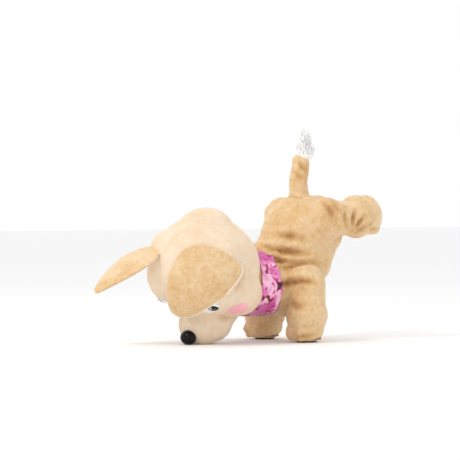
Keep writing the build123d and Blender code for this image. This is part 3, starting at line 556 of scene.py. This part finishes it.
# Every crease below also paints shade into its skin's colour along its line, through the fold marks.
fold_all(torso_skin, TORSO, BODY_FOLDS, sides=(1, -1))
fold_all(tail_skin, TAIL, TAIL_FOLDS)
fold_all(head_skin, HEAD, HEAD_FOLDS, sides=(1, -1))
FLOOR_CLEARANCE = 0.3 * MM
co = points_of(head_skin)
low = co[:, 2] < FLOOR_CLEARANCE
co[low, 2] = FLOOR_CLEARANCE
move_points(head_skin, co)
for (kind, name), leg in legs.items():
    if kind == "hind":
        fold_all(leg, HIND, HIND_FOLDS, sides=(SIDES[name],))
        flatten_paw(leg, HIND, -hind_reach)
    else:
        fold_all(leg, LEGS, FRONT_FOLDS, sides=(SIDES[name],))
        flatten_paw(leg, LEGS, -front_reach)
print("folds:", len(BODY_FOLDS), "on the body;", int(low.sum()), "points of the muzzle rest on the floor")

# %% [markdown]
# ## Ears
# Each ear is two cloth shapes sewn at the rim: tan outside and pale inside, so a pale line shows
# all round. The left one lies over the brow and bends with it. The right one stands off the
# head. A flattened ball is given the outline of the ear, then bent onto a large sphere.

# %% Ear skins
EAR_OUTLINE = [
    (-39, 4), (-34, -11), (-25, -25), (-12, -36), (3, -39), (17, -35), (28, -26), (38, -15), (45, -4),
    (50, 7), (52, 18), (47, 26), (39, 29), (29, 29), (17, 27), (-2, 24), (-18, 19), (-33, 12),
]
EAR_WAVE_SIZE, EAR_WAVE_HEIGHT = 24, 1.4
ROOT_TO_MIDDLE = 39.0
EAR_AXES = {
    "left": {
        "tip": (-0.764, -0.629, 0.144), "face": (0.539, -0.5, 0.678),
        "root": (57.0, 4.0, 24.5), "bend": 72.0,
    },
    "right": {
        "tip": (-0.012, -0.779, 0.625), "face": (-0.277, 0.60, 0.745),
        "root": (-52.5, 6.5, 24.5), "bend": 130.0,
    },
}


def ear(name, side, grow, thick, inset, droop=0.0):
    """One cloth of an ear: share of the outline, half thickness, depth and shift to the lower rim."""
    axes = EAR_AXES[name]
    face = Vector(axes["face"]).normalized()
    tip = Vector(axes["tip"])
    tip = (tip - face * face.dot(tip)).normalized()
    across = face.cross(tip)
    closed = smooth_line([*EAR_OUTLINE[-2:], *EAR_OUTLINE, *EAR_OUTLINE[:2]], steps=6)
    angle, radius = np.arctan2(closed[:, 1], closed[:, 0]), np.hypot(closed[:, 0], closed[:, 1])
    bpy.ops.mesh.primitive_uv_sphere_add(segments=96, ring_count=40, radius=1)
    piece = bpy.context.object
    co = points_of(piece)
    ring = np.hypot(co[:, 0], co[:, 1])
    way = np.arctan2(co[:, 1], co[:, 0])
    reach = np.interp(way, angle[np.argsort(angle)], radius[np.argsort(angle)], period=2 * np.pi) * grow
    u, v = ring * reach * np.cos(way), side * (ring * reach * np.sin(way) + droop)
    depth = np.sign(co[:, 2]) * np.abs(co[:, 2]) ** 0.8 * thick - inset
    spots = [Vector((a / EAR_WAVE_SIZE, b / EAR_WAVE_SIZE, side * 3.1)) for a, b in zip(u, v)]
    wave = np.array([noise.noise(spot) for spot in spots]) * EAR_WAVE_HEIGHT
    bend = axes["bend"]
    lift = bend - np.hypot(u, v) ** 2 / (2 * bend) * 1.06 + depth + wave
    crown = bend - ROOT_TO_MIDDLE**2 / (2 * bend)
    middle = np.array(axes["root"]) + np.array(tip) * ROOT_TO_MIDDLE - np.array(face) * crown
    local = middle + np.outer(lift, face) + np.outer(u, tip) + np.outer(v, across)
    where = np.array(HEAD)
    move_points(piece, local @ where[:3, :3].T + where[:3, 3])
    bpy.ops.object.mode_set(mode="EDIT")
    bpy.ops.mesh.select_all(action="SELECT")
    bpy.ops.mesh.normals_make_consistent(inside=False)
    bpy.ops.object.mode_set(mode="OBJECT")
    bpy.ops.object.shade_smooth()
    return piece


ears, linings = {}, {}
for name, side in SIDES.items():
    share = 1.0 if side > 0 else 0.9
    ears[name] = ear(name, side, 0.975 * share, 2.6, -1.0)
    ears[name].name = f"ear_skin_{name}"
    linings[name] = ear(name, side, 0.985 * share, 1.3, 0.4, droop=1.3)
    linings[name].name = f"ear_lining_skin_{name}"
print("ears:", [len(piece.data.polygons) for piece in ears.values()], "faces")

# %% [markdown]
# ## Eyes, cheeks and nose
# The eyes are moulded white ovals with a black pupil. The cheeks are pink plush sewn onto the
# skin. All of them follow the head's curve, so each is a flattened ball laid on the skin point
# by point. The nose is a glossy moulded dome.

# %% Pieces laid on the face
OUTSIDE_HEAD = 90.0


def laid(name, centre, halves, turn, thick, rise=0.0, shift=(0, 0)):
    """A rounded patch on the head's skin: direction of its middle, two half sizes, thickness."""
    out = Vector(centre).normalized()
    level = Vector((0, 0, 1)).cross(out).normalized()
    upward = out.cross(level)
    turn = math.radians(turn)
    wide = level * math.cos(turn) + upward * math.sin(turn)
    tall = upward * math.cos(turn) - level * math.sin(turn)
    bpy.ops.mesh.primitive_uv_sphere_add(segments=40, ring_count=20, radius=1)
    piece = bpy.context.object
    piece.name = piece.data.name = name
    co = points_of(piece)
    placed = []
    for x, y, z in co:
        across = wide * (x * halves[0] + shift[0]) + tall * (y * halves[1] + shift[1])
        start = HEAD @ (out * OUTSIDE_HEAD + across)
        _, spot, _, _ = head_skin.ray_cast(start, (HEAD.to_3x3() @ -out).normalized())
        placed.append(spot + (HEAD.to_3x3() @ out).normalized() * (z * thick + rise) * MM)
    move_points(piece, np.array(placed))
    bpy.ops.object.shade_smooth()
    return piece


face_pieces = {}
for name, side in SIDES.items():
    eye_at = (side * 32.0, -52.5, 9.3)
    cheek_at = (side * 42.5, -36.0, -16.0)
    pupil_shift, glint_shift = (side * 3.2, 0), (side * 3.2 - 2.0, 2.6)
    for key, place, halves, turn, thick, rise, shift in (
        ("eye_white", eye_at, (11.5, 9.0), side * 12, 0.9, 0.3, (0, 0)),
        ("eye_black", eye_at, (5.2, 6.5), side * 12, 0.7, 0.9, pupil_shift),
        ("eye_glint", eye_at, (1.3, 1.5), 0, 0.3, 1.5, glint_shift),
        ("cheek", cheek_at, (12, 6), side * 2, 0.5, 0.25, (0, 0)),
    ):
        face_pieces[key, name] = laid(f"{key}_{name}", place, halves, turn, thick, rise, shift)
nose = lump(HEAD, (0, -75, -8.5), (8.6, 7.6, 7.6), segments=48, turn=(18, 0, 0))
nose.name = nose.data.name = "nose_dome"
bpy.ops.object.shade_smooth()
print("face pieces:", len(face_pieces), "and the nose")

# %% [markdown]
# ## The bandana
# A strip of printed satin goes round the neck. It is wide at the throat and narrow at the nape,
# and its edges roll. A tube's rings are moved to the two edges, waved, and given the cloth's
# thickness by a solidify modifier.

# %% Bandana
NECK_GIRTH = 33.0
bpy.ops.mesh.primitive_cylinder_add(vertices=128, radius=1, depth=2, end_fill_type="NOTHING")
bandana = bpy.context.object
bandana.name = bandana.data.name = "bandana_cloth"
bpy.ops.object.mode_set(mode="EDIT")
bpy.ops.mesh.select_all(action="SELECT")
bpy.ops.mesh.subdivide(number_cuts=12, quadcorner="INNERVERT")
bpy.ops.object.mode_set(mode="OBJECT")
co = points_of(bandana)
around = np.arctan2(co[:, 1], co[:, 0])
share = (1 - co[:, 2]) / 2
below = (1 - np.sin(around)) / 2
back_edge = -33 + 7 * below**1.5
front_edge = -51 - 11 * below
y = back_edge + (front_edge - back_edge) * share
spots = [Vector((math.cos(a) * 3.2, math.sin(a) * 3.2, s * 1.6)) for a, s in zip(around, share)]
folds = np.array([noise.noise(spot) for spot in spots])
edge_roll = 1.3 * np.exp(-((share / 0.12) ** 2))
girth = NECK_GIRTH + folds * 1.6 + edge_roll
local = np.c_[girth * np.cos(around), y + folds * 1.5, 1 + girth * np.sin(around), np.ones(len(co))]
move_points(bandana, (local @ np.array(LEGS).T)[:, :3])
modify(bandana, "SOLIDIFY", thickness=1.2 * MM, offset=0.0)
modify(bandana, "SMOOTH", factor=0.4, iterations=3)
only(bandana)
bpy.ops.object.mode_set(mode="EDIT")
bpy.ops.mesh.select_all(action="SELECT")
bpy.ops.mesh.normals_make_consistent(inside=False)
bpy.ops.object.mode_set(mode="OBJECT")
bpy.ops.object.shade_smooth()
print("bandana:", len(bandana.data.polygons), "faces")

# %% [markdown]
# ## Colours of the small pieces
# Satin has a narrow soft shine and a print in a few flat colours. The eyes and nose are glossy
# plastic. Mechanism parts inside get plain plastics and metals, which show if a skin is lifted.

# %% Other materials
def plain(name, colour, roughness=0.5, metallic=0.0, coat=0.0, shine=0.5):
    """One colour with a little unevenness in its gloss."""
    made, nodes, links, shader = material(name)
    place = node(nodes, "TexCoord")
    grain = node(nodes, "TexNoise", Scale=160.0, Detail=2.0)
    spread = node(nodes, "MapRange")
    spread.inputs["To Min"].default_value = max(roughness - 0.04, 0.0)
    spread.inputs["To Max"].default_value = roughness + 0.04
    links.new(place.outputs["Object"], grain.inputs["Vector"])
    links.new(grain.outputs["Fac"], spread.inputs["Value"])
    links.new(spread.outputs["Result"], shader.inputs["Roughness"])
    shader.inputs["Base Color"].default_value = (*colour, 1)
    shader.inputs["Metallic"].default_value = metallic
    shader.inputs["Coat Weight"].default_value = coat
    shader.inputs["Specular IOR Level"].default_value = shine
    return made


def printed_satin():
    made, nodes, links, shader = material("printed_satin")
    place = node(nodes, "TexCoord")
    blots = node(nodes, "TexNoise", Scale=48.0, Detail=1.0, Distortion=0.6)
    shapes = node(nodes, "TexNoise", Scale=110.0, Detail=0.5, Distortion=1.2)
    for texture in (blots, shapes):
        links.new(place.outputs["Object"], texture.inputs["Vector"])
    ground = ramp(nodes, (0.36, (0.92, 0.55, 0.74)), (0.47, (0.78, 0.20, 0.50)), (0.60, (0.58, 0.06, 0.34)))
    links.new(blots.outputs["Fac"], ground.inputs["Fac"])
    dark, deep, rose, bare = (0.05, 0.004, 0.02), (0.45, 0.01, 0.16), (0.75, 0.10, 0.36), (1, 1, 1)
    marks = ramp(nodes, (0.33, dark), (0.37, deep), (0.42, rose), (0.46, bare))
    links.new(shapes.outputs["Fac"], marks.inputs["Fac"])
    mix = node(nodes, "Mix", data_type="RGBA", blend_type="MULTIPLY")
    mix.inputs[0].default_value = 1.0
    links.new(ground.outputs["Color"], mix.inputs[6])
    links.new(marks.outputs["Color"], mix.inputs[7])
    links.new(mix.outputs[2], shader.inputs["Base Color"])
    shader.inputs["Roughness"].default_value = 0.34
    shader.inputs["Sheen Weight"].default_value = 0.3
    return made


SATIN = printed_satin()
PINK = plush("pink_plush", (0.95, 0.50, 0.56), (0.90, 0.40, 0.47), (0.78, 0.27, 0.33), sheen=0.3)
WHITE_PILE = plain("white_pile", (0.97, 0.97, 0.96), 0.9, shine=0.1)
EYE_WHITE = plain("eye_white", (0.86, 0.86, 0.86), 0.25, coat=0.6)
GLOSS_BLACK = plain("gloss_black", (0.002, 0.002, 0.003), 0.14, shine=0.2)
GLINT = plain("glint_white", (0.95, 0.95, 0.95), 0.3)
INSIDE = {
    "frame_plastic": plain("frame_plastic", (0.72, 0.72, 0.70), 0.45),
    "sole_plastic": plain("sole_plastic", (0.30, 0.14, 0.06), 0.55),
    "gear_plastic": plain("gear_plastic", (0.85, 0.84, 0.78), 0.4),
    "board_green": plain("board_green", (0.02, 0.16, 0.05), 0.4),
    "dark_plastic": plain("dark_plastic", (0.02, 0.02, 0.022), 0.45),
    "pad_rubber": plain("pad_rubber", (0.015, 0.014, 0.014), 0.75),
    "steel": plain("steel", (0.55, 0.55, 0.56), 0.3, metallic=1.0),
    "cell_case": plain("cell_case", (0.10, 0.13, 0.30), 0.35),
    "brass": plain("brass", (0.70, 0.50, 0.22), 0.3, metallic=1.0),
}

# %% [markdown]
# ## What rides on what
# Every skin is fixed to one moving body, like the cloth that is glued or sewn to the moulding
# inside. A skin takes the place of the plain solid that the frame has for it.

# %% Materials, riders and replacements
def dress(piece, paint, slot, body, *nodes):
    piece.data.materials.clear()
    piece.data.materials.append(paint)
    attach(piece, body)
    if nodes:
        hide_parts(*nodes)


# The head wears the paler cream plush: painted light, set off from the tan ears.
dress(head_skin, LIT_CREAM, "plush_tan", "head", "head_plush")
dress(torso_skin, TAN, "plush_tan", "torso", "torso_plush")
dress(tail_skin, TAN, "plush_tan", "tail", "tail_plush")
dress(tail_tip, WHITE_PILE, "pile_white", "tail", "tail_tuft")
dress(tail_hairs, WHITE_PILE, "pile_white", "tail")
for (kind, name), leg in legs.items():
    body = "front_frame" if kind == "front" else "hind_legs"
    dress(leg, TAN, "plush_tan", body, f"{kind}_leg_plush_{name}")
for name in SIDES:
    dress(ears[name], TAN, "plush_tan", f"{name}_ear", f"ear_{name}")
    dress(linings[name], PALE, "plush_pale", f"{name}_ear", f"ear_lining_{name}")
    dress(face_pieces["eye_white", name], EYE_WHITE, "eye_plastic", "head", f"eye_{name}")
    dress(face_pieces["eye_black", name], GLOSS_BLACK, "nose_black", "head")
    dress(face_pieces["eye_glint", name], GLINT, "eye_plastic", "head")
dress(face_pieces["cheek", "left"], PINK, "cheek_pink", "head", "cheek_patches")
dress(face_pieces["cheek", "right"], PINK, "cheek_pink", "head")
dress(nose, GLOSS_BLACK, "nose_black", "head", "nose")
dress(bandana, SATIN, "bandana_print", "torso", "bandana")

slots = {part["node"]: part["material_slot"] for part in frame["record"]["subparts"]}
for item in bpy.data.objects:
    paint = INSIDE.get(slots.get(item.name))
    if item.type == "MESH" and paint:
        item.data.materials.clear()
        item.data.materials.append(paint)

# %% [markdown]
# ## The table, the light and the camera
# The puppy stands on a plain pale floor. A small softbox high on the left shapes the folds, a
# weaker one overhead fills them, and a bright surround keeps the shadows light.

# %% Floor and studio
bpy.ops.mesh.primitive_plane_add(size=14, location=(0, 0, 0))
floor = bpy.context.object
floor.name = "floor"
floor_paint, _, _, floor_shader = material("floor_paint")
floor_shader.inputs["Base Color"].default_value = (0.93, 0.93, 0.93, 1)
floor_shader.inputs["Roughness"].default_value = 0.9
floor_shader.inputs["Specular IOR Level"].default_value = 0.1
floor.data.materials.append(floor_paint)

world = bpy.data.worlds.new("studio")
scene = bpy.context.scene
scene.world = world
world.use_nodes = True
world.node_tree.nodes["Background"].inputs["Color"].default_value = (1, 1, 1, 1)
world.node_tree.nodes["Background"].inputs["Strength"].default_value = 1.0
scene.view_settings.view_transform = "Standard"


def softbox(name, place, target, size, power, colour=(1, 1, 1)):
    bpy.ops.object.light_add(type="AREA", location=place)
    light = bpy.context.object
    light.name = name
    light.data.size = size
    light.data.energy = power
    light.data.color = colour
    light.rotation_mode = "QUATERNION"
    light.rotation_quaternion = (Vector(place) - Vector(target)).to_track_quat("Z", "Y")


CAMERA_AZIMUTH, CAMERA_ELEVATION, CAMERA_DISTANCE = 54.0, 0.8, 2.6
VIEW_WIDTH = 0.483
azimuth, elevation = math.radians(CAMERA_AZIMUTH), math.radians(CAMERA_ELEVATION)
right = Vector((math.cos(azimuth), math.sin(azimuth), 0))
level_back = Vector((math.sin(azimuth), -math.cos(azimuth), 0))
back = level_back * math.cos(elevation) + UP * math.sin(elevation)
aim = Vector((shoulder.x, shoulder.y, 0)) - right * 0.0583 + UP * 0.116
softbox("key_light", aim + back * 0.7 - right * 0.7 + UP * 0.9, aim, 0.22, 4.2, (1.0, 0.96, 0.9))
softbox("top_light", aim + UP * 1.1 - back * 0.3, aim, 0.7, 1.0)
bpy.ops.object.camera_add(location=aim + back * CAMERA_DISTANCE)
camera = bpy.context.object
camera.rotation_mode = "QUATERNION"
camera.rotation_quaternion = back.to_track_quat("Z", "Y")
camera.data.sensor_width = 36
camera.data.lens = camera.data.sensor_width * CAMERA_DISTANCE / VIEW_WIDTH
scene.camera = camera
print("camera lens", round(camera.data.lens), "mm")
